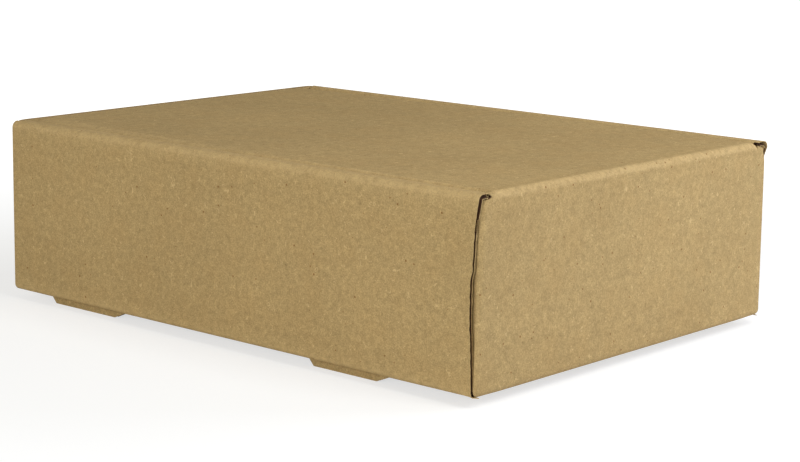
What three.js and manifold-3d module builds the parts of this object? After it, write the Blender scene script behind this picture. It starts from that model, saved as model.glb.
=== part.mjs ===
// Kraft mailer carton, die-cut and folded from one sheet of corrugated board, shown closed.
//
// Frame, in millimetres: +Z is up and the origin lies under the middle of the carton, at the tips
// of its locking tabs. The long rolled side walls face -Y and +Y, the hinge wall faces +X and the
// front wall, with the tuck flap behind it, faces -X.
//
// The sheet is split in two at the crease along the top of the hinge wall: "tray" is the base with
// its walls, and "lid" is the top panel with its tuck flap and two side flaps.

import * as THREE from "three";
import { mergeVertices } from "three/addons/utils/BufferGeometryUtils.js";
import Module from "manifold-3d";

// Driving dimensions
const LENGTH = 318; // outside, front wall to hinge wall
const WIDTH = 231; // outside, across the two rolled side walls
const HEIGHT = 90.7; // underside of the base to the top of the lid
const BOARD = 3; // thickness of the corrugated board
const LAYER_GAP = 0.3; // between board layers that lie against each other
const FOLD_INSIDE = 0.2; // inside radius of every crease
const LID_RISE = 0.6; // lid stands this much above the rolled side walls

const SIDE_END_GAP = 0.7; // outer side panels stop this short of the end walls' outer faces
const ROLL_END_GAP = 0.6; // rolled tops and inner panels stop this short of the end walls
const FRONT_WALL_DROP = 1.5; // cut top edge of the front wall below the lid top
const SHOULDER_DROP = 1.1; // cut top corners of the hinge wall below the lid top

const DUST_FLAP_LENGTH = 78; // reach of each dust flap along the side wall
const DUST_FLAP_CORNER = 9; // radius of its free corners

const TAB_DROP = 4.6; // locking tabs stand this far below the base
const TAB_FRONT_SLOPE = 4.2; // how much a tab narrows at its front side, below the base
const TAB_REAR_SLOPE = 11; // how much a tab narrows at its hinge side, below the base
const SLOT_GAP = 0.4; // clearance of a tab in its slot
const TABS = [
  { centre: -105.8, length: 61.5 },
  { centre: 78.5, length: 55 },
];

const TUCK_DEPTH = 60; // tuck flap, from the lid top to its free edge
const TUCK_LEAN = 7.4; // how far the free edge of the tuck flap leans inward
const TUCK_INSET = 4; // each end of the tuck flap, in from the lid's side folds
const TUCK_CORNER = 14; // radius of its free corners
const SIDE_FLAP_DEPTH = 42; // lid side flaps, from the lid top to their free edges
const SIDE_FLAP_FRONT = 15; // front end of a side flap, back from the front wall's outer face
const SIDE_FLAP_REAR = 12; // rear end of a side flap, in from the hinge wall's outer face
const SIDE_FLAP_CORNER = 18; // radius of its free corners

// Worn rear edge of the outer side panel at -Y: depth below the roll top, and how far it is worn in
const WORN_EDGE = [
  [0, 0],
  [12, 1.4],
  [27, 2.2],
  [38, 3.4],
  [50, 3.4],
  [62, 2.6],
  [90, 1.6],
];

const FOLD_STEPS = 5; // facets around each fold
const CORNER_STEPS = 6; // facets around each free corner
const WORN_STEPS = 18; // facets along the worn edge
const REACH = 400; // cutters reach clear of the carton

// Places worked out from the driving dimensions
const halfBoard = BOARD / 2;
const foldOutside = FOLD_INSIDE + BOARD;
const foldMiddle = FOLD_INSIDE + halfBoard;
const endFace = LENGTH / 2;
const baseBottom = TAB_DROP;
const baseTop = baseBottom + BOARD;
const lidTop = baseBottom + HEIGHT;
const lidBottom = lidTop - BOARD;
const rollTop = lidTop - LID_RISE;
const rollBottom = rollTop - BOARD;

// Outer faces of the layers of a side wall, from the outside in
const layerStep = BOARD + LAYER_GAP;
const outerFace = WIDTH / 2;
const dustFace = outerFace - layerStep;
const innerFace = dustFace - layerStep;
const lidFace = innerFace - layerStep;

const sideEnd = endFace - SIDE_END_GAP;
const rollEnd = endFace - BOARD - ROLL_END_GAP;
const tuckFace = -(endFace - layerStep);
const hingeWallTop = lidTop - foldOutside - LAYER_GAP;

const wasm = await Module();
wasm.setup();

// Closed solid of a closed geometry
function solidOf(geometry) {
  geometry.deleteAttribute("normal");
  geometry.deleteAttribute("uv");
  const merged = mergeVertices(geometry, 1e-4);
  return new wasm.Manifold(
    new wasm.Mesh({
      numProp: 3,
      vertProperties: new Float32Array(merged.attributes.position.array),
      triVerts: new Uint32Array(merged.index.array),
    }),
  );
}

// Axes that an outline's own x and y point along, and the axis that it is drawn out along
const X = new THREE.Vector3(1, 0, 0);
const Y = new THREE.Vector3(0, 1, 0);
const Z = new THREE.Vector3(0, 0, 1);
const AXES = {
  x: new THREE.Matrix4().makeBasis(Y, Z, X),
  y: new THREE.Matrix4().makeBasis(X, Z, Y.clone().negate()),
  z: new THREE.Matrix4().makeBasis(X, Y, Z),
};

// An outline drawn out along one axis, between two places on that axis
function prism(shape, axis, from, to) {
  const geometry = new THREE.ExtrudeGeometry(shape, { depth: to - from, bevelEnabled: false });
  geometry.translate(0, 0, axis === "y" ? -to : from);
  geometry.applyMatrix4(AXES[axis]);
  return solidOf(geometry);
}

function block(x0, x1, y0, y1, z0, z1) {
  return prism(outline([[x0, y0], [x1, y0], [x1, y1], [x0, y1]]), "z", z0, z1);
}

// Closed outline through corners [u, v, radius]; a corner with a radius is rounded
function outline(corners) {
  const points = corners.map(([u, v]) => new THREE.Vector2(u, v));
  const ring = [];
  points.forEach((corner, i) => {
    const radius = corners[i][2] ?? 0;
    const before = points.at(i - 1).clone().sub(corner).normalize();
    const after = points[(i + 1) % points.length].clone().sub(corner).normalize();
    const opening = Math.acos(before.dot(after));
    if (radius === 0) {
      ring.push(corner);
      return;
    }
    const start = corner.clone().addScaledVector(before, radius / Math.tan(opening / 2));
    const toCentre = before.clone().add(after).normalize();
    const centre = corner.clone().addScaledVector(toCentre, radius / Math.sin(opening / 2));
    const sweep = -Math.sign(before.cross(after)) * (Math.PI - opening);
    for (let step = 0; step <= CORNER_STEPS; step += 1) {
      ring.push(start.clone().rotateAround(centre, (sweep * step) / CORNER_STEPS));
    }
  });
  return new THREE.Shape(ring);
}

// Section of folded board: its middle line through the given corners, bent round at each of them
function foldedSection(corners) {
  const points = corners.map(([u, v]) => new THREE.Vector2(u, v));
  const headings = points.slice(1).map((point, i) => point.clone().sub(points[i]).normalize());
  const left = [];
  const right = [];
  const addPair = (point, heading) => {
    const across = new THREE.Vector2(-heading.y, heading.x);
    left.push(point.clone().addScaledVector(across, halfBoard));
    right.unshift(point.clone().addScaledVector(across, -halfBoard));
  };
  addPair(points[0], headings[0]);
  for (let i = 1; i < points.length - 1; i += 1) {
    const before = headings[i - 1];
    const turn = Math.atan2(before.cross(headings[i]), before.dot(headings[i]));
    const start = points[i].clone().addScaledVector(before, -foldMiddle * Math.tan(Math.abs(turn) / 2));
    const inward = new THREE.Vector2(-before.y, before.x).multiplyScalar(Math.sign(turn));
    const centre = start.clone().addScaledVector(inward, foldMiddle);
    for (let step = 0; step <= FOLD_STEPS; step += 1) {
      const angle = (turn * step) / FOLD_STEPS;
      const heading = before.clone().rotateAround(new THREE.Vector2(), angle);
      addPair(start.clone().rotateAround(centre, angle), heading);
    }
  }
  addPair(points.at(-1), headings.at(-1));
  return new THREE.Shape([...left, ...right]);
}

// Base with both rolled side walls: one strip, folded up, over and down again inside
function baseAndSideWalls() {
  const outerLine = outerFace - halfBoard;
  const innerLine = innerFace - halfBoard;
  const rollLine = rollTop - halfBoard;
  const baseLine = baseBottom + halfBoard;
  const innerFoot = baseTop + LAYER_GAP;
  const section = foldedSection([
    [-innerLine, innerFoot],
    [-innerLine, rollLine],
    [-outerLine, rollLine],
    [-outerLine, baseLine],
    [outerLine, baseLine],
    [outerLine, rollLine],
    [innerLine, rollLine],
    [innerLine, innerFoot],
  ]);
  // Past the roll ends only the outer panels go on, over the dust flaps' folds
  const insideOuterPanel = outerFace - BOARD;
  let walls = prism(section, "x", -sideEnd, sideEnd);
  walls = walls.subtract(block(rollEnd, REACH, -insideOuterPanel, insideOuterPanel, 0, REACH));
  walls = walls.subtract(block(-REACH, -rollEnd, -insideOuterPanel, insideOuterPanel, 0, REACH));
  return walls.subtract(wornEdgeCutter());
}

// What the wear has taken from the rear edge of the outer panel at -Y
function wornEdgeCutter() {
  const worn = WORN_EDGE.map(([down, inward]) => new THREE.Vector2(sideEnd - inward, rollTop - down));
  const edge = new THREE.SplineCurve(worn).getPoints(WORN_STEPS);
  const bottom = edge.at(-1);
  const shape = new THREE.Shape([
    new THREE.Vector2(REACH, rollTop),
    ...edge,
    new THREE.Vector2(bottom.x, 0),
    new THREE.Vector2(REACH, 0),
  ]);
  return prism(shape, "y", -REACH, -(outerFace - BOARD));
}

// Front wall, base and hinge wall: one strip, with a dust flap folded back at each end of each wall
function endWalls() {
  const wallLine = endFace - halfBoard;
  const baseLine = baseBottom + halfBoard;
  const section = foldedSection([
    [-wallLine, lidTop - FRONT_WALL_DROP],
    [-wallLine, baseLine],
    [wallLine, baseLine],
    [wallLine, lidTop - SHOULDER_DROP],
  ]);
  let walls = prism(section, "y", -dustFace, dustFace);
  for (const end of [-1, 1]) {
    for (const side of [-1, 1]) {
      walls = walls.add(dustFlap(end, side));
    }
  }
  const plan = outline([
    [-endFace, -dustFace, foldOutside],
    [endFace, -dustFace, foldOutside],
    [endFace, dustFace, foldOutside],
    [-endFace, dustFace, foldOutside],
  ]);
  walls = walls.intersect(prism(plan, "z", 0, REACH));
  // The middle of the hinge wall ends under the lid's crease
  const creaseHalf = lidFace + LAYER_GAP;
  return walls.subtract(block(endFace - BOARD - 1, REACH, -creaseHalf, creaseHalf, hingeWallTop, REACH));
}

function dustFlap(end, side) {
  const tip = endFace - DUST_FLAP_LENGTH;
  const foot = baseTop + LAYER_GAP;
  const head = rollBottom - LAYER_GAP;
  const corners = [
    [tip, foot, DUST_FLAP_CORNER],
    [endFace, foot],
    [endFace, head],
    [tip, head, DUST_FLAP_CORNER],
  ];
  const faces = [side * dustFace, side * (dustFace - BOARD)];
  const shape = outline(corners.map(([x, z, radius]) => [end * x, z, radius]));
  return prism(shape, "y", Math.min(...faces), Math.max(...faces));
}

// Locking tab of an inner side panel, down through its slot and out below the base
function lockingTab({ centre, length }, side) {
  const front = centre - length / 2;
  const rear = centre + length / 2;
  const faces = [side * innerFace, side * (innerFace - BOARD)];
  const shape = outline([
    [front, baseTop + BOARD],
    [front, baseBottom],
    [front + TAB_FRONT_SLOPE, 0],
    [rear - TAB_REAR_SLOPE, 0],
    [rear, baseBottom],
    [rear, baseTop + BOARD],
  ]);
  return prism(shape, "y", Math.min(...faces), Math.max(...faces));
}

function tabSlot({ centre, length }, side) {
  const half = length / 2 + SLOT_GAP;
  const faces = [side * (innerFace + SLOT_GAP), side * (innerFace - BOARD - SLOT_GAP)];
  const [near, far] = [Math.min(...faces), Math.max(...faces)];
  return block(centre - half, centre + half, near, far, baseBottom - 1, baseTop + LAYER_GAP / 2);
}

function tray() {
  let solid = baseAndSideWalls().add(endWalls());
  for (const tab of TABS) {
    for (const side of [-1, 1]) {
      solid = solid.subtract(tabSlot(tab, side)).add(lockingTab(tab, side));
    }
  }
  return solid;
}

// Top panel with the hinge crease at its rear edge and the tuck flap folded down at its front
function topPanelAndTuckFlap() {
  const lidLine = lidTop - halfBoard;
  const tuckLine = tuckFace + halfBoard;
  const section = foldedSection([
    [tuckLine + TUCK_LEAN, lidTop - TUCK_DEPTH],
    [tuckLine, lidLine],
    [endFace - halfBoard, lidLine],
    [endFace - halfBoard, lidTop - foldOutside],
  ]);
  const tuckHalf = lidFace - TUCK_INSET;
  const tuckPlan = outline([
    [-tuckHalf, REACH],
    [-tuckHalf, lidTop - TUCK_DEPTH - 1, TUCK_CORNER],
    [tuckHalf, lidTop - TUCK_DEPTH - 1, TUCK_CORNER],
    [tuckHalf, REACH],
  ]);
  const allowed = prism(tuckPlan, "x", -REACH, REACH)
    .add(block(-REACH, REACH, -REACH, REACH, lidBottom, REACH))
    .add(block(0, REACH, -REACH, REACH, 0, REACH));
  return prism(section, "y", -lidFace, lidFace).intersect(allowed);
}

// Side flap of the lid: folded down along the lid's edge, with round free corners
function sideFlap(side) {
  const line = side * (lidFace - halfBoard);
  const front = -(endFace - SIDE_FLAP_FRONT);
  const rear = endFace - SIDE_FLAP_REAR;
  const tip = lidTop - SIDE_FLAP_DEPTH;
  const section = foldedSection([
    [line, tip],
    [line, lidTop - halfBoard],
    [side * (lidFace - 2 * foldOutside), lidTop - halfBoard],
  ]);
  const plan = outline([
    [front, REACH],
    [front, tip, SIDE_FLAP_CORNER],
    [rear, tip, SIDE_FLAP_CORNER],
    [rear, REACH],
  ]);
  return prism(section, "x", front, rear).intersect(prism(plan, "y", -REACH, REACH));
}

// Square edge of the top panel, taken off where a side flap's fold takes its place
function sideFoldCutter(side) {
  const edges = [side * (lidFace - foldOutside), side * REACH];
  const front = -(endFace - SIDE_FLAP_FRONT);
  const rear = endFace - SIDE_FLAP_REAR;
  return block(front, rear, Math.min(...edges), Math.max(...edges), lidBottom - 1, REACH);
}

function lid() {
  let solid = topPanelAndTuckFlap();
  for (const side of [-1, 1]) {
    solid = solid.subtract(sideFoldCutter(side)).add(sideFlap(side));
  }
  return solid;
}

function namedMesh(name, solid) {
  const { vertProperties, triVerts } = solid.getMesh();
  const geometry = new THREE.BufferGeometry();
  geometry.setAttribute("position", new THREE.BufferAttribute(vertProperties, 3));
  geometry.setIndex(new THREE.BufferAttribute(triVerts, 1));
  geometry.computeVertexNormals();
  const kraft = new THREE.MeshStandardMaterial({
    name: "kraft_board",
    color: 0xb3996b,
    roughness: 0.88,
    metalness: 0,
    flatShading: true,
  });
  const mesh = new THREE.Mesh(geometry, kraft);
  mesh.name = name;
  return mesh;
}

const carton = new THREE.Group();
carton.name = "mailer_carton";
carton.add(namedMesh("tray", tray()), namedMesh("lid", lid()));

export default carton;
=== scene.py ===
import math

import bmesh
import bpy
import numpy as np
from mathutils import Matrix, Vector


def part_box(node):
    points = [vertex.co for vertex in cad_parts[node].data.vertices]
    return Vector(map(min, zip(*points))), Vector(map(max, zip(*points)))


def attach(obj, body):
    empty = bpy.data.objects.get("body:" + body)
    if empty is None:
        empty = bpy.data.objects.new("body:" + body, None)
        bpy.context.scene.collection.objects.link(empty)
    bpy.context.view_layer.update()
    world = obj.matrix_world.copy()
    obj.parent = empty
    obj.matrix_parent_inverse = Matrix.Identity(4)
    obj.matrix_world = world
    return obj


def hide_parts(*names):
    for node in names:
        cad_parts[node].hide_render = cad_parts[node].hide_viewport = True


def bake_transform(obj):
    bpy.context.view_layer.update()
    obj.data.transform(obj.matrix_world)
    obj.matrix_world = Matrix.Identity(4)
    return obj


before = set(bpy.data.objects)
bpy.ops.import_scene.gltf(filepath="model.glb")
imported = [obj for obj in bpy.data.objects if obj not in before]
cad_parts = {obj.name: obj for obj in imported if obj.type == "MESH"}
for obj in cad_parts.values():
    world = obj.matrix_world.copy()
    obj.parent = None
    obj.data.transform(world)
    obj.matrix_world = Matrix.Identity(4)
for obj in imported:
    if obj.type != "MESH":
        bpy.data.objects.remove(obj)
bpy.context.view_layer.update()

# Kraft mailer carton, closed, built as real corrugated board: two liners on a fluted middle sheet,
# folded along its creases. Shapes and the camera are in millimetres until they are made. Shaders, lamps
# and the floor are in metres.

MM = 0.001

# Sizes that the frame gives
TRAY_HIGH = np.array(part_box("tray")[1]) / MM
LID_LOW, LID_HIGH = (np.array(corner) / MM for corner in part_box("lid"))
END_FACE = TRAY_HIGH[0]
OUTER_FACE = TRAY_HIGH[1]
LID_TOP = LID_HIGH[2]
LID_FACE = LID_HIGH[1]
ROLL_TOP = TRAY_HIGH[2]

# Sizes of the board and its folds, as in the solids
BOARD = 3.0
HALF = BOARD / 2
LAYER_GAP = 0.3
FOLD_INSIDE = 0.2
FOLD_MIDDLE = FOLD_INSIDE + HALF
FOLD_OUTSIDE = FOLD_INSIDE + BOARD
LAYER_STEP = BOARD + LAYER_GAP
DUST_FACE = OUTER_FACE - LAYER_STEP
INNER_FACE = DUST_FACE - LAYER_STEP
BASE_BOTTOM = 4.6
BASE_TOP = BASE_BOTTOM + BOARD
INNER_FOOT = BASE_TOP + LAYER_GAP
ROLL_END_GAP = 0.6  # inner panels stop this short of the end walls, and rolled tops but for their overhang
ROLL_END = END_FACE - BOARD - ROLL_END_GAP
SIDE_END_GAP = 0.7  # outer panels stop this short of the end walls' outer faces
SIDE_END = END_FACE - SIDE_END_GAP
SHOULDER_DROP = 1.1  # cut top corners of the hinge wall below the lid's top
SHOULDER_TOP = LID_TOP - SHOULDER_DROP
DUST_FLAP_LENGTH = 78.0
DUST_FLAP_TOP = ROLL_TOP - BOARD - LAYER_GAP
TUCK_DEPTH = 60.0
TUCK_LEAN = 7.4
TUCK_INSET = 4.0
TUCK_HALF = LID_FACE - TUCK_INSET
TUCK_CORNER = 14.0
TUCK_FACE = -LID_LOW[0]
SIDE_FLAP_DEPTH = 42.0
SIDE_FLAP_FRONT_GAP = 15.0  # front end of a side flap, back from the front wall's outer face
SIDE_FLAP_FRONT = -(END_FACE - SIDE_FLAP_FRONT_GAP)
SIDE_FLAP_REAR_GAP = 12.0  # rear end of a side flap, in from the hinge wall's outer face
SIDE_FLAP_REAR = END_FACE - SIDE_FLAP_REAR_GAP
SIDE_FLAP_CORNER = 18.0
TABS = ((-105.8, 61.5), (78.5, 55.0))  # middle and length of each locking tab along the side wall
TAB_FRONT_SLOPE = 4.2
TAB_REAR_SLOPE = 11.0
SLOT_GAP = 0.4

# The board's own make-up, which the solids leave out
LINER = 0.34
FLUTE_SHEET = 0.2
FLUTE_PITCH = 6.5
FLUTE_AMPLITUDE = HALF - LINER - FLUTE_SHEET / 2

# Front wall and hinge crease, where they differ from the solids
FRONT_WALL_DROP = 0.35  # cut top edge of the front wall below the lid's top
FRONT_WALL_TOP = LID_TOP - FRONT_WALL_DROP
CREASE_REACH = 9.0  # how far the hinge crease's own piece goes down the wall and along the lid

# Rolls at the hinge end, which run on over the wall's low shoulders and are pressed thin there
ROLL_OVERHANG_FROM = LID_FACE + 1.6
ROLL_CRUSH = 0.25  # share of its thickness that the roll's end loses
CRUSH_NONE = 1.0  # how far in from the outer face the pressing starts
CRUSH_FULL = 4.0  # and where it is full
SHOULDER_DIP = 2.0
DIP_INSIDE = 1.0  # the dip starts this far inside the lid's side face
DIP_OUTSIDE = 1.4  # and is full this far outside it
ROLL_RISE = 0.5  # rolled tops stand this much above those of the solids
ROLL_RISE_FROM = 84.0  # height from which they are raised

# Sides of the lid's top, which slope down towards the front
SLOPE_WIDTH = 12.0  # at the front
SLOPE_DROP = 1.6  # at the front
SLOPE_END = 105.0  # place along X where the slope has run out
SLOPE_LEAST_WIDTH = 0.5
SLOPE_FROM = 20.0  # the drop fades in from this far below the lid's top
ROLL_SLOPE_DROP = 0.5  # how far the rolls' outer edges follow
EDGE_SINK = 1.2  # how far the lid's free edges are pressed down beside the rolls
EDGE_SINK_LENGTH = 4.0
EDGE_SINK_WIDTH = 3.0

# Paleness painted on folds and rolls, against 1 on a fold of the side walls: partly worn, cracked liner and
# partly painted highlight. The roll's value also sets the painted light on the lid's sloping sides
ROLL_WEAR_AND_PAINTED_LIGHT = 0.7
WALL_FOLD_WEAR_AND_HIGHLIGHT = 0.15
FOOT_FOLD_WEAR_AND_HIGHLIGHT = 0.5
FLANK_PAINTED_LIGHT_BEFORE = 0.6  # painted light on the lid's sides starts this far inside the slanting line
FLANK_PAINTED_LIGHT_AFTER = 1.4  # and is full this far outside it
FLANK_PAINTED_LIGHT_FADE = 0.2  # share of the slope below which it fades out

# Vertical folds of the hinge wall, which bulge out behind the worn edges: depth below the roll top,
# and how far out, at -Y and at +Y
BULGE = ((0, 0), (12, 0.6), (27, 1.1), (45, 1.5), (60, 2.3), (90, 2.9))
FAR_BULGE = ((0, 0.4), (4, 1.8), (9, 3.0), (90, 3.2))
CORNER_PRESS = 0.5  # how far the hinge wall is pressed in beside its vertical folds

# Wear on the outer panels' rear edges, at -Y and at +Y: depth below the roll top, and how far worn in
WORN_EDGE = ((0, 0), (15, 1.8), (34, 2.7), (38, 3.8), (57, 3.8), (66, 3.1), (90, 2.2))
FAR_WEAR = ((0, 0), (3.5, 1.6), (8, 2.6), (90, 2.6))
RAGGED = 0.1  # size of each of the two waves that make the edge at -Y ragged
RAGGED_WAVES = (1.3, 3.1)  # their radians for each millimetre of depth
RAGGED_SHIFT = 1.0
RAGGED_DEPTHS = (4.0, 10.0)  # where the raggedness starts and where it is full
# Places through the board at the edge at -Y, as shares of its thickness, and where the fray moves them
FRAYED_BOARD = ((0, 0.28), (0.12, 0.58), (0.88, 0.92), (1, 1))
FRAYED_DEPTHS = (6.0, 14.0)

# Places along X and Y, and heights, at which the warps start or are full
WORN_FROM = 150.0
FRAYED_FROM = 154.0
WALL_FOLD_FROM = 154.8
CORNER_PRESS_FULL = 156.5
BULGE_FULL = 157.6
CORNER_PRESS_ASIDE = (96.0, 110.0)
BULGE_FULL_ASIDE = 110.5
RIM_FROM = 80.0

# Slack in comparisons of places
TINY = 1e-6
TOUCH = 0.01
LOOSE_TOUCH = 0.05
ROLL_TOP_BAND = 0.3  # cells nearer than this to the roll's middle line are its flat top

# Spacings and counts of the grids, and the angle in degrees from which an edge is drawn sharp
LINER_STEP = 7.0
FLUTE_STEP = FLUTE_PITCH / 6
FLAT_STEP = 60.0
CREASE_STEP = 1.0
FOLD_STEPS = 6
WORN_ROW = 1.6  # rows of the liners along the worn edge
WORN_FLUTE_ROW = 6 * WORN_ROW  # rows of the fluted sheet there
FLANK_ROWS = 16
FLANK_MARGIN = 3
SHARP_ANGLE = 50

# Colours, and a Mix node's sockets by number
LINER_TINT = (0.42, 0.297, 0.137)
# The fluted sheet is painted far darker than its own colour: painted shade in the flute cavities and hidden
# slots
FLUTE_PAINTED_SHADE_TINT = (0.08, 0.042, 0.024)
MIX_SHARE = 0
MIX_FIRST_COLOUR = 6
MIX_SECOND_COLOUR = 7
MIX_COLOUR_OUT = 2


class Board:
    """Closed sheets gathered for one mesh. Its points say how pale they are painted, for wear and painted
    highlight, and where along the flutes.
    """

    def __init__(self):
        self.points = []
        self.faces = []
        self.slots = []
        self.folds = []
        self.flutes = []
        self.rolls = []
        self.count = 0
        self.rolled = False

    def add(self, points, normals, low, high, fold, flute, keep, slot):
        n, m = points.shape[:2]
        low = np.broadcast_to(low, (n, m))[..., None]
        high = np.broadcast_to(high, (n, m))[..., None]
        upper = (points + normals * high).reshape(-1, 3)
        lower = (points + normals * low).reshape(-1, 3)
        both = np.concatenate([upper, lower])
        a, b, c, d = quad_corners(n, m)
        faces = []
        under = n * m
        kept = np.zeros((n + 1, m + 1), bool)
        kept[1:-1, 1:-1] = keep
        here = kept[1:-1, 1:-1]
        faces.append(np.stack([a, b, c, d], -1)[here])
        faces.append(np.stack([d, c, b, a], -1)[here] + under)
        for first, second, beside in (
            (a, b, kept[1:-1, :-2]),
            (b, c, kept[2:, 1:-1]),
            (c, d, kept[1:-1, 2:]),
            (d, a, kept[:-2, 1:-1]),
        ):
            edge = here & ~beside
            faces.append(np.stack([second, first, first + under, second + under], -1)[edge])
        faces = np.concatenate(faces)
        used, faces = np.unique(faces, return_inverse=True)
        self.points.append(both[used])
        self.folds.append(np.tile(np.broadcast_to(fold, (n, m)).ravel(), 2)[used])
        self.flutes.append(np.tile(np.broadcast_to(flute / FLUTE_PITCH, (n, m)).ravel(), 2)[used])
        self.rolls.append(np.full(len(used), self.rolled))
        self.faces.append(faces.reshape(-1, 4) + self.count)
        self.slots.append(np.full(len(faces.reshape(-1, 4)), slot))
        self.count += len(used)

    def mesh(self, name, warp, materials):
        points = warp(np.concatenate(self.points), np.concatenate(self.rolls)) * MM
        mesh = bpy.data.meshes.new(name)
        mesh.from_pydata(points.tolist(), [], np.concatenate(self.faces).tolist())
        mesh.polygons.foreach_set("material_index", np.concatenate(self.slots).astype(np.int32))
        for name_of, values in (("fold", self.folds), ("flute", self.flutes)):
            attribute = mesh.attributes.new(name_of, "FLOAT", "POINT")
            attribute.data.foreach_set("value", np.concatenate(values).astype(np.float32))
        for material in materials:
            mesh.materials.append(material)
        work = bmesh.new()
        work.from_mesh(mesh)
        bmesh.ops.recalc_face_normals(work, faces=work.faces)
        work.to_mesh(mesh)
        work.free()
        mesh.polygons.foreach_set("use_smooth", [True] * len(mesh.polygons))
        mesh.set_sharp_from_angle(angle=math.radians(SHARP_ANGLE))
        piece = bpy.data.objects.new(name, mesh)
        bpy.context.scene.collection.objects.link(piece)
        return piece


def quad_corners(n, m):
    index = np.arange(n * m).reshape(n, m)
    return index[:-1, :-1], index[1:, :-1], index[1:, 1:], index[:-1, 1:]


def places(low, high, step, marks=()):
    """Places from low to high, at most a step apart, with every mark among them."""
    stops = sorted({low, high, *(mark for mark in marks if low < mark < high)})
    out = [np.linspace(a, b, max(1, math.ceil((b - a) / step)) + 1)[:-1] for a, b in zip(stops, stops[1:])]
    return np.concatenate([*out, [high]])


def middle(values):
    return (values[1:] + values[:-1]) / 2


def folded_path(corners, step):
    """Middle line of a folded board: points, normals, running length, and 1 on folds falling to 0."""
    corners = [np.array(corner, float) for corner in corners]
    headings = [(b - a) / np.linalg.norm(b - a) for a, b in zip(corners, corners[1:])]
    points, normals, folds = [corners[0]], [left_of(headings[0])], [0.0]

    def line_to(point, heading):
        far = np.linalg.norm(point - points[-1])
        start = points[-1]
        count = max(1, math.ceil(far / step))
        for i in range(1, count + 1):
            points.append(start + (point - start) * i / count)
            normals.append(left_of(heading))
            folds.append(0.0)

    for corner, before, after in zip(corners[1:-1], headings, headings[1:]):
        turn = math.atan2(before[0] * after[1] - before[1] * after[0], before @ after)
        if abs(turn) < TINY:
            line_to(corner, before)
            continue
        line_to(corner - before * FOLD_MIDDLE * math.tan(abs(turn) / 2), before)
        centre = points[-1] + left_of(before) * math.copysign(FOLD_MIDDLE, turn)
        arm = points[-1] - centre
        folds[-1] = 0.5
        for i in range(1, FOLD_STEPS + 1):
            angle = turn * i / FOLD_STEPS
            points.append(centre + turned(arm, angle))
            normals.append(left_of(turned(before, angle)))
            folds.append(1.0 if i < FOLD_STEPS else 0.5)
    line_to(corners[-1], headings[-1])
    points, normals = np.array(points), np.array(normals)
    run = np.concatenate([[0], np.cumsum(np.linalg.norm(np.diff(points, axis=0), axis=1))])
    return points, normals, run, np.array(folds)


def left_of(heading):
    return np.array([-heading[1], heading[0]])


def turned(vector, angle):
    c, s = math.cos(angle), math.sin(angle)
    return np.array([c * vector[0] - s * vector[1], s * vector[0] + c * vector[1]])


def swept(path, normals, along, axis):
    """Grid of points and normals: a path in two axes, repeated at each place along the third."""
    n, m = len(along), len(path)
    others = [k for k in range(3) if k != axis]
    points, facing = np.zeros((n, m, 3)), np.zeros((n, m, 3))
    points[..., axis] = along[:, None]
    points[..., others[0]], points[..., others[1]] = path[:, 0], path[:, 1]
    facing[..., others[0]], facing[..., others[1]] = normals[:, 0], normals[:, 1]
    return points, facing


def wave(distance):
    return FLUTE_AMPLITUDE * np.sin(2 * math.pi * distance / FLUTE_PITCH)


def add_board(board, make, flutes_across):
    """The three sheets of one stretch of board. make(step) gives its grid and which cells it keeps."""
    points, normals, fold, keep, distance = make(LINER_STEP, LINER_STEP)
    board.add(points, normals, HALF - LINER, HALF, fold, distance, keep, 0)
    board.add(points, normals, -HALF, LINER - HALF, fold, distance, keep, 0)
    steps = (FLUTE_STEP, FLAT_STEP) if flutes_across else (FLAT_STEP, FLUTE_STEP)
    points, normals, fold, keep, distance = make(*steps)
    offset = wave(distance)
    board.add(points, normals, offset - FLUTE_SHEET / 2, offset + FLUTE_SHEET / 2, fold, distance, keep, 1)


def slot_span(tab):
    centre, length = tab
    return centre - length / 2 - SLOT_GAP, centre + length / 2 + SLOT_GAP


def side_strip(board):
    """Base and both rolled side walls in one strip, with the slots and without the corners."""
    outer, inner = OUTER_FACE - HALF, INNER_FACE - HALF
    roll, base = ROLL_TOP - HALF, BASE_BOTTOM + HALF
    slot_in, slot_out = INNER_FACE - BOARD - SLOT_GAP, INNER_FACE + SLOT_GAP
    half = [
        (-inner, INNER_FOOT),
        (-inner, roll),
        (-outer, roll),
        (-outer, base),
        (-slot_out, base),
        (-slot_in, base),
    ]

    def make(step_x, step_path):
        spacing = WORN_ROW if step_path == LINER_STEP else WORN_FLUTE_ROW
        rows = [(-outer, z) for z in np.arange(roll - 2 * FOLD_OUTSIDE, base + 2 * FOLD_OUTSIDE, -spacing)]
        corners = half[:3] + rows + half[3:] + [(-y, z) for y, z in reversed(half)]
        path, normals, _, fold = folded_path(corners, step_path)
        # The roll's top painted pale: partly wear, partly painted highlight
        fold = np.maximum(fold, ROLL_WEAR_AND_PAINTED_LIGHT * (path[:, 1] > roll - TOUCH))
        slot_ends = [edge for tab in TABS for edge in slot_span(tab)]
        marks = [-ROLL_END, ROLL_END, -WORN_FROM, WORN_FROM, *slot_ends]
        x = places(-SIDE_END, SIDE_END, step_x, marks)
        points, facing = swept(path, normals, x, 0)
        mid_x, mid_y, mid_z = middle(x)[:, None], middle(path[:, 0])[None], middle(path[:, 1])[None]
        over_shoulder = (mid_x > 0) & (mid_z > roll - ROLL_TOP_BAND) & (np.abs(mid_y) > ROLL_OVERHANG_FROM)
        keep = (np.abs(mid_x) < ROLL_END) | (np.abs(mid_y) > OUTER_FACE - BOARD) | over_shoulder
        in_slot_y = (np.abs(mid_y) > slot_in) & (np.abs(mid_y) < slot_out) & (mid_z < BASE_TOP)
        for tab in TABS:
            low, high = slot_span(tab)
            keep = keep & ~(in_slot_y & (mid_x > low) & (mid_x < high))
        return points, facing, fold[None], keep, points[..., 0]

    add_board(board, make, True)


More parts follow.
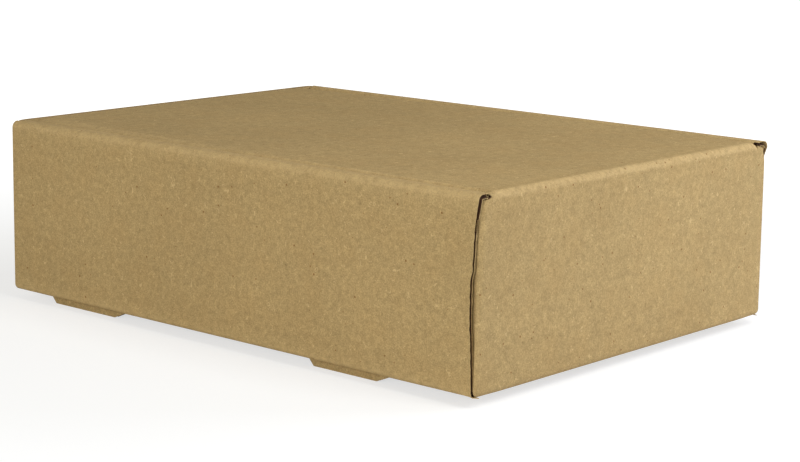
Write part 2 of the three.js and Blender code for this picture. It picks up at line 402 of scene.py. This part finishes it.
def end_wall(board, end):
    """A front or hinge wall, with its bottom fold and the dust flap folded back at each end."""
    wall_x, dust_y = END_FACE - HALF, DUST_FACE - HALF
    tip = END_FACE - DUST_FLAP_LENGTH
    corners = [
        (tip, -dust_y),
        (wall_x, -dust_y),
        (wall_x, -LID_FACE),
        (wall_x, LID_FACE),
        (wall_x, dust_y),
        (tip, dust_y),
    ]
    top = SHOULDER_TOP if end > 0 else FRONT_WALL_TOP
    seam = LID_TOP - CREASE_REACH if end > 0 else top
    turn_z = BASE_BOTTOM + FOLD_OUTSIDE

    def make(step_path, step_z):
        plan, normals, _, fold = folded_path(corners, step_path)
        normals = -normals
        z = places(turn_z, top, step_z, (INNER_FOOT, DUST_FLAP_TOP, seam))
        angles = np.linspace(math.pi / 2, 0, FOLD_STEPS + 1)[:-1]
        base_run = FOLD_OUTSIDE - (END_FACE - ROLL_END)
        n, m = len(plan), 1 + len(angles) + len(z)
        points, facing = np.zeros((n, m, 3)), np.zeros((n, m, 3))
        inward = np.concatenate([[FOLD_MIDDLE - base_run], FOLD_MIDDLE * (1 - np.cos(angles)), 0 * z])
        points[..., :2] = plan[:, None] - normals[:, None] * inward[None, :, None]
        points[..., 2] = np.concatenate([[turn_z - FOLD_MIDDLE], turn_z - FOLD_MIDDLE * np.sin(angles), z])
        lean = np.concatenate([[math.pi / 2], angles, 0 * z])
        facing[..., :2] = normals[:, None] * np.cos(lean)[None, :, None]
        facing[..., 2] = -np.sin(lean)[None]
        bend = np.concatenate([[0.0], 0 * angles + 1, 0 * z])
        mid_x, mid_y = middle(plan[:, 0])[:, None], np.abs(middle(plan[:, 1]))[:, None]
        mid_z = middle(points[0, :, 2])[None]
        row = np.arange(m - 1)[None]
        in_flap = mid_x < END_FACE - FOLD_OUTSIDE
        keep = np.where(in_flap, (row > len(angles)) & (mid_z > INNER_FOOT) & (mid_z < DUST_FLAP_TOP), True)
        keep = keep & ~((mid_y < LID_FACE) & (mid_z > seam) & ~in_flap)
        points[..., 0] *= end
        facing[..., 0] *= end
        # Paleness of the folds: partly wear, partly painted highlight
        wear_and_highlight = np.maximum(WALL_FOLD_WEAR_AND_HIGHLIGHT * fold[:, None], FOOT_FOLD_WEAR_AND_HIGHLIGHT * bend[None])
        return points, facing, wear_and_highlight, keep, points[..., 2]

    add_board(board, make, False)


def locking_tab(board, tab, side):
    centre, length = tab
    front, rear = centre - length / 2, centre + length / 2
    line = side * (INNER_FACE - HALF)

    def make(step_x, step_z):
        z = places(0.0, INNER_FOOT, step_z, (BASE_BOTTOM,))
        share = np.linspace(0, 1, max(2, math.ceil(length / step_x) + 1))
        drop = np.clip(1 - z / BASE_BOTTOM, 0, 1)
        low = front + TAB_FRONT_SLOPE * drop
        high = rear - TAB_REAR_SLOPE * drop
        points, facing = np.zeros((len(share), len(z), 3)), np.zeros((len(share), len(z), 3))
        points[..., 0] = low[None] + (high - low)[None] * share[:, None]
        points[..., 1] = line
        points[..., 2] = z[None]
        facing[..., 1] = side
        keep = np.ones((len(share) - 1, len(z) - 1), bool)
        return points, facing, np.zeros((1, 1)), keep, points[..., 0]

    add_board(board, make, True)


def corner_inset(distance, radius):
    """How far a round corner cuts in, at each distance from its free edge."""
    inside = np.clip(radius - distance, 0, radius)
    return radius - np.sqrt(radius**2 - inside**2)


def lid_flanks():
    """Close rows near the lid's sides, the same in each piece that meets there."""
    flank = np.linspace(LID_FACE - SLOPE_WIDTH - FLANK_MARGIN, LID_FACE, FLANK_ROWS)
    return [*flank, *-flank]


def lid_strip(board):
    """Top panel of the lid as far as the hinge crease's own piece, with the tuck flap folded down."""
    lid_line, tuck_line = LID_TOP - HALF, -(TUCK_FACE - HALF)
    rear = END_FACE - CREASE_REACH
    corners = [
        (tuck_line + TUCK_LEAN, LID_TOP - TUCK_DEPTH),
        (tuck_line, lid_line),
        (SIDE_FLAP_FRONT, lid_line),
        (SIDE_FLAP_REAR, lid_line),
        (rear, lid_line),
    ]
    side_fold = LID_FACE - FOLD_OUTSIDE

    def make(step_y, step_path):
        path, normals, run, fold = folded_path(corners, step_path)
        marks = (-side_fold, side_fold, -TUCK_HALF, TUCK_HALF, *lid_flanks())
        y = places(-LID_FACE, LID_FACE, step_y, marks)
        points, facing = swept(path, normals, y, 1)
        in_tuck = path[:, 1] < lid_line - FOLD_MIDDLE + TINY
        share = slope_share(points[..., 0])
        flank_line = LID_FACE - SLOPE_WIDTH * share
        # The lid's sloping sides painted paler: painted light beyond what their slope gives
        painted_light_from, painted_light_full = flank_line - FLANK_PAINTED_LIGHT_BEFORE, flank_line + FLANK_PAINTED_LIGHT_AFTER
        flank = smooth(np.abs(points[..., 1]), painted_light_from, painted_light_full) * smooth(share, 0.0, FLANK_PAINTED_LIGHT_FADE)
        fold = np.maximum(fold[None], ROLL_WEAR_AND_PAINTED_LIGHT * flank)
        inset = corner_inset(run, TUCK_CORNER)
        points[:, in_tuck, 1] *= ((TUCK_HALF - inset) / TUCK_HALF)[in_tuck]
        mid_y, mid_x = np.abs(middle(y))[:, None], middle(path[:, 0])[None]
        on_top = middle(path[:, 1])[None] > lid_line - TOUCH
        flap_side = (mid_x > SIDE_FLAP_FRONT) & (mid_x < SIDE_FLAP_REAR) & on_top
        keep = ~(flap_side & (mid_y > side_fold))
        keep = keep & ~(middle(in_tuck.astype(float))[None].astype(bool) & (mid_y > TUCK_HALF))
        return points, facing, fold, keep, np.broadcast_to(run[None], points.shape[:2])

    add_board(board, make, False)


def lid_side_flap(board, side):
    line, lid_line = side * (LID_FACE - HALF), LID_TOP - HALF
    tip = LID_TOP - SIDE_FLAP_DEPTH
    corners = [(line, tip), (line, lid_line), (side * (LID_FACE - FOLD_OUTSIDE), lid_line)]
    centre = (SIDE_FLAP_FRONT + SIDE_FLAP_REAR) / 2
    half_length = (SIDE_FLAP_REAR - SIDE_FLAP_FRONT) / 2

    def make(step_x, step_path):
        path, normals, run, fold = folded_path(corners, min(step_path, LINER_STEP))
        x = places(SIDE_FLAP_FRONT, SIDE_FLAP_REAR, step_x)
        points, facing = swept(path, normals, x, 0)
        inset = corner_inset(run, SIDE_FLAP_CORNER)
        points[..., 0] = centre + (points[..., 0] - centre) * (1 - inset / half_length)[None]
        keep = np.ones((len(x) - 1, len(path) - 1), bool)
        return points, facing, fold[None], keep, points[..., 0]

    add_board(board, make, True)


def hinge_crease(board):
    """The fold from the hinge wall to the lid, as a piece of its own."""
    wall_x, lid_line = END_FACE - HALF, LID_TOP - HALF
    corners = [(wall_x, LID_TOP - CREASE_REACH), (wall_x, lid_line), (END_FACE - CREASE_REACH, lid_line)]

    def make(step_y, step_path):
        path, normals, run, fold = folded_path(corners, min(step_path, CREASE_STEP))
        y = places(-LID_FACE, LID_FACE, step_y, lid_flanks())
        points, facing = swept(path, normals, y, 1)
        keep = np.ones((len(y) - 1, len(path) - 1), bool)
        return points, facing, fold[None], keep, np.broadcast_to(run[None], points.shape[:2])

    add_board(board, make, False)


def smooth(value, low, high):
    share = np.clip((value - low) / (high - low), 0, 1)
    return share * share * (3 - 2 * share)


def slope_share(x):
    """1 at the front, falling evenly to 0 where the slope of the lid's sides has run out."""
    return np.clip((SLOPE_END - x) / (SLOPE_END + END_FACE), 0, 1)


def curve(place, stops):
    return np.interp(place, *np.array(stops, float).T)


def corner_press(points):
    beside_fold = CORNER_PRESS * smooth(np.abs(points[:, 1]), *CORNER_PRESS_ASIDE)
    return beside_fold * smooth(points[:, 0], WALL_FOLD_FROM, CORNER_PRESS_FULL)


def warp_tray(points, on_roll):
    """Wear and crushing: worn and frayed rear edges, bulging folds, pressed roll ends, low shoulders.

    x, y and z are views of the points and change with them, so the order of the last lines matters.
    """
    points = points.copy()
    x, y, z = points.T
    aside = np.abs(y)
    depth = ROLL_TOP - z

    in_worn = (aside > OUTER_FACE - BOARD - LOOSE_TOUCH) & (x > WORN_FROM) & (z < DUST_FLAP_TOP)
    slow, fast = RAGGED_WAVES
    ragged = RAGGED * np.sin(slow * depth) + RAGGED * np.sin(fast * depth + RAGGED_SHIFT)
    near_wear = curve(depth, WORN_EDGE) + ragged * smooth(depth, *RAGGED_DEPTHS)
    wear = np.where(y < 0, near_wear, curve(depth, FAR_WEAR))
    worn_x = WORN_FROM + (x - WORN_FROM) * (SIDE_END - wear - WORN_FROM) / (SIDE_END - WORN_FROM)
    through = (aside - (OUTER_FACE - BOARD)) / BOARD
    frayed = np.sign(y) * (OUTER_FACE - BOARD + BOARD * curve(through, FRAYED_BOARD))
    frayed_share = in_worn * (y < 0) * smooth(x, FRAYED_FROM, SIDE_END) * smooth(depth, *FRAYED_DEPTHS)

    bulge = np.where(y < 0, curve(depth, BULGE), curve(depth, FAR_BULGE))
    outward = bulge * smooth(x, WALL_FOLD_FROM, BULGE_FULL) * smooth(aside, LID_FACE, BULGE_FULL_ASIDE)
    in_wall = (aside < DUST_FACE + TOUCH) & (x > 0)
    dip = SHOULDER_DIP * smooth(aside, LID_FACE - DIP_INSIDE, LID_FACE + DIP_OUTSIDE)
    dip *= smooth(z, RIM_FROM, SHOULDER_TOP)
    in_shoulder = (x > END_FACE - BOARD - LOOSE_TOUCH) & (aside < DUST_FACE + TOUCH)
    in_shoulder &= (z < SHOULDER_TOP + TOUCH) & ~on_roll

    pressed = ROLL_CRUSH * smooth(x, WORN_FROM, END_FACE - BOARD)
    pressed *= smooth(aside, OUTER_FACE - CRUSH_NONE, OUTER_FACE - CRUSH_FULL)
    in_roll = on_roll & (z > ROLL_TOP - BOARD - TOUCH)
    roll_slope = ROLL_SLOPE_DROP * slope_share(x) * smooth(aside, INNER_FACE - BOARD, OUTER_FACE)

    wall_moves = in_wall & ~on_roll
    points[:, 0] = np.where(in_worn, worn_x, x - np.where(wall_moves, corner_press(points), 0))
    points[:, 1] = y + np.where(wall_moves, outward * np.sign(y), frayed_share * (frayed - y))
    points[:, 2] = z - np.where(in_shoulder, dip, 0)
    rise = np.where(on_roll, ROLL_RISE * smooth(z, ROLL_RISE_FROM, ROLL_TOP), 0)
    points[:, 2] += np.where(in_roll, pressed * depth, 0) + rise
    points[:, 2] -= roll_slope * smooth(z, RIM_FROM, ROLL_TOP) * (aside > LID_FACE)
    return points


def warp_lid(points, on_roll):
    """Sloping sides, pressed free edges and rear corners. The lid has no roll: on_roll goes unused."""
    points = points.copy()
    x, y, z = points.T
    share = slope_share(x)
    inner = LID_FACE - np.maximum(SLOPE_WIDTH * share, SLOPE_LEAST_WIDTH)
    down = SLOPE_DROP * share * np.clip((np.abs(y) - inner) / (LID_FACE - inner), 0, 1)
    rear_edge = smooth(x, SIDE_FLAP_REAR - EDGE_SINK_LENGTH, SIDE_FLAP_REAR)
    front_edge = smooth(-x, -SIDE_FLAP_FRONT - EDGE_SINK_LENGTH, -SIDE_FLAP_FRONT)
    free_edge = np.maximum(rear_edge, front_edge)
    down += EDGE_SINK * free_edge * smooth(np.abs(y), LID_FACE - EDGE_SINK_WIDTH, LID_FACE)
    points[:, 2] -= down * smooth(z, LID_TOP - SLOPE_FROM, LID_TOP - BOARD)
    points[:, 0] -= corner_press(points)
    return points


class Nodes:
    """Short ways to add shader nodes to one tree."""

    def __init__(self, tree):
        self.tree = tree

    def add(self, kind, settings=None, **inputs):
        made = self.tree.nodes.new("ShaderNode" + kind)
        for name, value in (settings or {}).items():
            setattr(made, name, value)
        for name, value in inputs.items():
            self.put(made.inputs[name.replace("_", " ")], value)
        return made

    def put(self, socket, value):
        if isinstance(value, bpy.types.NodeSocket):
            self.tree.links.new(value, socket)
        else:
            socket.default_value = value

    def math(self, operation, first, second=0.0):
        made = self.add("Math", {"operation": operation})
        self.put(made.inputs[0], first)
        self.put(made.inputs[1], second)
        return made.outputs[0]

    def ramp(self, value, low, high, to_low=0.0, to_high=1.0):
        made = self.add("MapRange", {"interpolation_type": "SMOOTHSTEP"})
        for socket, given in zip(made.inputs, (value, low, high, to_low, to_high)):
            self.put(socket, given)
        return made.outputs[0]

    def mix(self, share, first, second, blend="MIX"):
        made = self.add("Mix", {"data_type": "RGBA", "blend_type": blend})
        self.put(made.inputs[MIX_SHARE], share)
        self.put(made.inputs[MIX_FIRST_COLOUR], first)
        self.put(made.inputs[MIX_SECOND_COLOUR], second)
        return made.outputs[MIX_COLOUR_OUT]

    def noise(self, place, scale, detail, roughness=0.5, distortion=0.0):
        made = self.add("TexNoise", Vector=place, Scale=scale, Detail=detail, Roughness=roughness)
        made.inputs["Distortion"].default_value = distortion
        return made.outputs[0]

    def moved(self, place, offset):
        made = self.add("VectorMath", {"operation": "ADD"})
        self.put(made.inputs[0], place)
        made.inputs[1].default_value = offset
        return made.outputs[0]

    def hairs(self, place, offset, scale, thin, amount):
        """Short curved hairs: the middle level of a noise, cut into lengths by a second noise."""
        there = self.moved(place, offset)
        level = self.noise(there, scale, 1.0, 0.4, 1.2)
        line = self.ramp(self.math("ABSOLUTE", self.math("SUBTRACT", level, 0.5)), 0.0, thin, 1.0, 0.0)
        pieces = self.ramp(self.noise(there, scale * 1.7, 1.0), 1.0 - amount, 1.05 - amount)
        return self.math("MULTIPLY", line, pieces)

    def specks(self, place, offset, cell, radius, amount):
        """Round specks, one in some of the cells: cell and radius are in metres."""
        cells = self.add("TexVoronoi", Vector=self.moved(place, offset), Scale=1 / cell)
        chosen = self.add("SeparateColor", Color=cells.outputs["Color"])
        size = self.ramp(chosen.outputs[1], 0.0, 1.0, 0.5 * radius / cell, radius / cell)
        round_spot = self.math("LESS_THAN", cells.outputs["Distance"], size)
        return self.math("MULTIPLY", round_spot, self.math("LESS_THAN", chosen.outputs[0], amount))


def kraft(name, tint):
    """Brown kraft liner: mottled fibres, light and dark hairs, specks, paler folds (partly worn, partly
    painted highlight) and lid sides (painted light), faint flutes (bump and painted shade).
    """
    material = bpy.data.materials.new(name)
    material.use_nodes = True
    shader = material.node_tree.nodes["Principled BSDF"]
    shader.inputs["Specular IOR Level"].default_value = 0.02
    n = Nodes(material.node_tree)
    place = n.add("TexCoord").outputs["Object"]
    fold = n.add("Attribute", {"attribute_name": "fold"}).outputs["Fac"]
    flute = n.add("Attribute", {"attribute_name": "flute"}).outputs["Fac"]

    wide = n.noise(place, scale=13.0, detail=2.0)
    cloud = n.noise(place, scale=330.0, detail=5.0, roughness=0.72)
    grain = n.noise(place, scale=1500.0, detail=3.0, roughness=0.7)
    ridges = n.math("SINE", n.math("MULTIPLY", flute, 2 * math.pi))
    light = n.ramp(wide, 0.3, 0.7, to_low=0.965, to_high=1.035)
    light = n.math("MULTIPLY", light, n.ramp(cloud, 0.25, 0.75, to_low=0.86, to_high=1.14))
    light = n.math("MULTIPLY", light, n.ramp(grain, 0.25, 0.75, to_low=0.76, to_high=1.24))
    # Painted shade and highlight across the flutes' washboard, besides the bump below
    ridge_shade_share = 0.008
    light = n.math("ADD", light, n.math("MULTIPLY", ridges, ridge_shade_share))

    pale = tuple(min(1.0, 1.45 * level + 0.03) for level in tint) + (1,)
    dark = tuple(0.5 * level for level in tint) + (1,)
    rusty = (0.55 * tint[0], 0.38 * tint[1], 0.3 * tint[2], 1)
    warm = (1.05 * tint[0], 0.9 * tint[1], 0.75 * tint[2], 1)
    brightness = n.add("CombineColor", Red=light, Green=light, Blue=light).outputs[0]
    colour = n.mix(1.0, (*tint, 1), brightness, "MULTIPLY")
    warmth = n.ramp(n.noise(n.moved(place, (3, 1, 2)), scale=60.0, detail=3.0), 0.35, 0.75)
    warm_share = 0.14
    light_hair_share = 0.7
    dark_hair_share = 0.5
    light_speck_share = 0.75
    dark_speck_share = 0.8
    colour = n.mix(n.math("MULTIPLY", warmth, warm_share), colour, warm)
    light_hairs = n.hairs(place, (0, 0, 0), scale=170.0, thin=0.022, amount=0.42)
    dark_hairs = n.hairs(place, (5, 2, 7), scale=190.0, thin=0.016, amount=0.38)
    colour = n.mix(n.math("MULTIPLY", light_hairs, light_hair_share), colour, pale)
    colour = n.mix(n.math("MULTIPLY", dark_hairs, dark_hair_share), colour, dark)
    patches = n.noise(place, scale=320.0, detail=3.0, roughness=0.7)
    # Pale folds and rolls: partly worn, cracked liner and partly painted highlight; on the lid's sloping
    # sides, painted light
    wear_and_highlight = n.math("MULTIPLY", fold, n.ramp(patches, 0.3, 0.65, to_low=0.1, to_high=0.42))
    colour = n.mix(wear_and_highlight, colour, pale)
    light_specks = n.specks(place, (1, 8, 3), cell=0.0042, radius=0.0005, amount=0.5)
    dark_specks = n.specks(place, (9, 4, 6), cell=0.0052, radius=0.00055, amount=0.55)
    colour = n.mix(n.math("MULTIPLY", light_specks, light_speck_share), colour, pale)
    colour = n.mix(n.math("MULTIPLY", dark_specks, dark_speck_share), colour, rusty)
    n.put(shader.inputs["Base Color"], colour)
    n.put(shader.inputs["Roughness"], n.ramp(grain, 0.2, 0.8, to_low=0.78, to_high=0.94))

    height = n.math("ADD", n.math("MULTIPLY", cloud, 0.5), n.math("MULTIPLY", grain, 0.35))
    height = n.math("ADD", height, n.math("MULTIPLY", light_hairs, 0.25))
    fine = n.add("Bump", Height=height, Strength=0.5, Distance=0.00022)
    board = n.add("Bump", Height=ridges, Strength=0.35, Distance=0.00008, Normal=fine.outputs[0])
    n.put(shader.inputs["Normal"], board.outputs[0])
    return material


def camera():
    """Camera at the photograph's place: focal length and principal point are in its 800 by 462 pixels."""
    width = 800
    height = 462
    focal = 2124.2
    axis_x = 400.6
    axis_y = 198.8
    azimuth = math.radians(41.39)
    elevation = math.radians(10.0)
    roll = math.radians(0.781)
    distance = 1112.9
    aside = 9.92
    above = 57.74
    rise = 0.6
    across = math.cos(elevation)
    back = Vector((math.sin(azimuth) * across, -math.cos(azimuth) * across, math.sin(elevation)))
    level = Vector((math.cos(azimuth), math.sin(azimuth), 0))
    upright = back.cross(level)
    right = level * math.cos(roll) + upright * math.sin(roll)
    up = upright * math.cos(roll) - level * math.sin(roll)
    data = bpy.data.cameras.new("photo_camera")
    data.sensor_width = 36
    data.lens = focal / width * data.sensor_width
    data.shift_x = (width / 2 - axis_x) / width
    data.shift_y = (axis_y - height / 2) / width
    data.clip_start = 0.05
    data.clip_end = 60
    made = bpy.data.objects.new("photo_camera", data)
    place = (back * distance + right * aside + up * above + Vector((0, 0, rise))) * MM
    made.matrix_world = Matrix((right, up, back)).transposed().to_4x4()
    made.location = place
    bpy.context.scene.collection.objects.link(made)
    bpy.context.scene.camera = made


def area_light(name, place, target, size, power, colour):
    data = bpy.data.lights.new(name, "AREA")
    data.shape = "SQUARE"
    data.size = size
    data.energy = power
    data.color = colour
    lamp = bpy.data.objects.new(name, data)
    lamp.location = place
    lamp.rotation_euler = (Vector(target) - Vector(place)).to_track_quat("-Z", "Y").to_euler()
    bpy.context.scene.collection.objects.link(lamp)


def lights():
    """Soft lamps, each with its place and size in metres, its power and its colour, and a pale world."""
    middle_of_box = (0.0, 0.0, 0.05)
    lamps = (
        ("key_right", (0.6, 0.6, 0.35), 0.4, 3.5, (0.93, 1.0, 1.16)),
        ("fill_front", (0.3, -1.55, 0.34), 0.9, 12.9, (1.0, 1.0, 0.95)),
        ("front_wall_soft", (-1.6, 0.3, 0.18), 0.9, 7, (1.0, 0.99, 0.95)),
        ("side_soft", (0.8, -0.05, 0.75), 0.5, 2.4, (0.94, 1.0, 1.1)),
        ("top_soft", (0.52, -0.05, 0.82), 0.5, 2.45, (1.0, 0.98, 0.88)),
    )
    for name, place, size, power, colour in lamps:
        area_light(name, place, middle_of_box, size, power, colour)
    world = bpy.data.worlds.new("studio")
    bpy.context.scene.world = world
    world.use_nodes = True
    tree = world.node_tree
    world_colour = (1, 0.98, 0.9, 1)
    world_strength = 0.25
    tree.nodes["Background"].inputs["Color"].default_value = world_colour
    tree.nodes["Background"].inputs["Strength"].default_value = world_strength
    seen = tree.nodes.new("ShaderNodeBackground")
    seen.inputs["Strength"].default_value = 1.0
    mix = tree.nodes.new("ShaderNodeMixShader")
    tree.links.new(direct_view(tree), mix.inputs["Fac"])
    tree.links.new(tree.nodes["Background"].outputs[0], mix.inputs[1])
    tree.links.new(seen.outputs[0], mix.inputs[2])
    tree.links.new(mix.outputs[0], tree.nodes["World Output"].inputs["Surface"])


def direct_view(tree):
    """1 where the camera, a reflection or a refraction looks, and 0 for the light on the object."""
    path = tree.nodes.new("ShaderNodeLightPath")
    either = tree.nodes.new("ShaderNodeMath")
    either.operation = "MAXIMUM"
    any_of = tree.nodes.new("ShaderNodeMath")
    any_of.operation = "MAXIMUM"
    tree.links.new(path.outputs["Is Camera Ray"], either.inputs[0])
    tree.links.new(path.outputs["Is Glossy Ray"], either.inputs[1])
    tree.links.new(either.outputs[0], any_of.inputs[0])
    tree.links.new(path.outputs["Is Transmission Ray"], any_of.inputs[1])
    return any_of.outputs[0]


def floor():
    """Plain pale floor that keeps the carton's shadow and glows white far from it."""
    floor_size = 24
    floor_height = -0.0002
    lit_grey = (0.8, 0.8, 0.8, 1)
    seen_grey = (0.4, 0.4, 0.4, 1)
    bpy.ops.mesh.primitive_plane_add(size=floor_size, location=(0, 0, floor_height))
    ground = bpy.context.object
    ground.name = "floor"
    material = bpy.data.materials.new("floor_white")
    material.use_nodes = True
    tree = material.node_tree
    tree.nodes.remove(tree.nodes["Principled BSDF"])
    lit = tree.nodes.new("ShaderNodeBsdfDiffuse")
    lit.inputs["Color"].default_value = lit_grey
    pale = tree.nodes.new("ShaderNodeBsdfDiffuse")
    pale.inputs["Color"].default_value = seen_grey
    n = Nodes(tree)
    away = n.add("VectorMath", {"operation": "LENGTH"})
    n.put(away.inputs[0], n.add("TexCoord").outputs["Object"])
    strength = n.ramp(away.outputs["Value"], 0.25, 0.75, to_low=0.66, to_high=1.0)
    glow = n.add("Emission", Strength=strength)
    seen = tree.nodes.new("ShaderNodeAddShader")
    mix = tree.nodes.new("ShaderNodeMixShader")
    tree.links.new(pale.outputs[0], seen.inputs[0])
    tree.links.new(glow.outputs[0], seen.inputs[1])
    tree.links.new(direct_view(tree), mix.inputs["Fac"])
    tree.links.new(lit.outputs[0], mix.inputs[1])
    tree.links.new(seen.outputs[0], mix.inputs[2])
    tree.links.new(mix.outputs[0], tree.nodes["Material Output"].inputs["Surface"])
    ground.data.materials.append(material)


def build():
    liner = kraft("kraft_liner", LINER_TINT)
    # the fluted sheet's dark tint is painted shade for its cavities
    flute = kraft("kraft_flute_painted_shade", FLUTE_PAINTED_SHADE_TINT)
    materials = (liner, flute)

    tray = Board()
    tray.rolled = True
    side_strip(tray)
    tray.rolled = False
    end_wall(tray, 1)
    end_wall(tray, -1)
    for tab in TABS:
        for side in (-1, 1):
            locking_tab(tray, tab, side)
    tray_piece = tray.mesh("tray_board", warp_tray, materials)
    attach(tray_piece, "tray")
    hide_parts("tray")

    lid = Board()
    lid_strip(lid)
    for side in (-1, 1):
        lid_side_flap(lid, side)
    lid_piece = lid.mesh("lid_board", warp_lid, materials)
    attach(lid_piece, "lid")
    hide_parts("lid")

    crease = Board()
    hinge_crease(crease)
    crease_piece = crease.mesh("hinge_crease", warp_lid, materials)
    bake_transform(crease_piece)


camera()
build()
lights()
floor()
bpy.context.scene.view_settings.view_transform = "Standard"
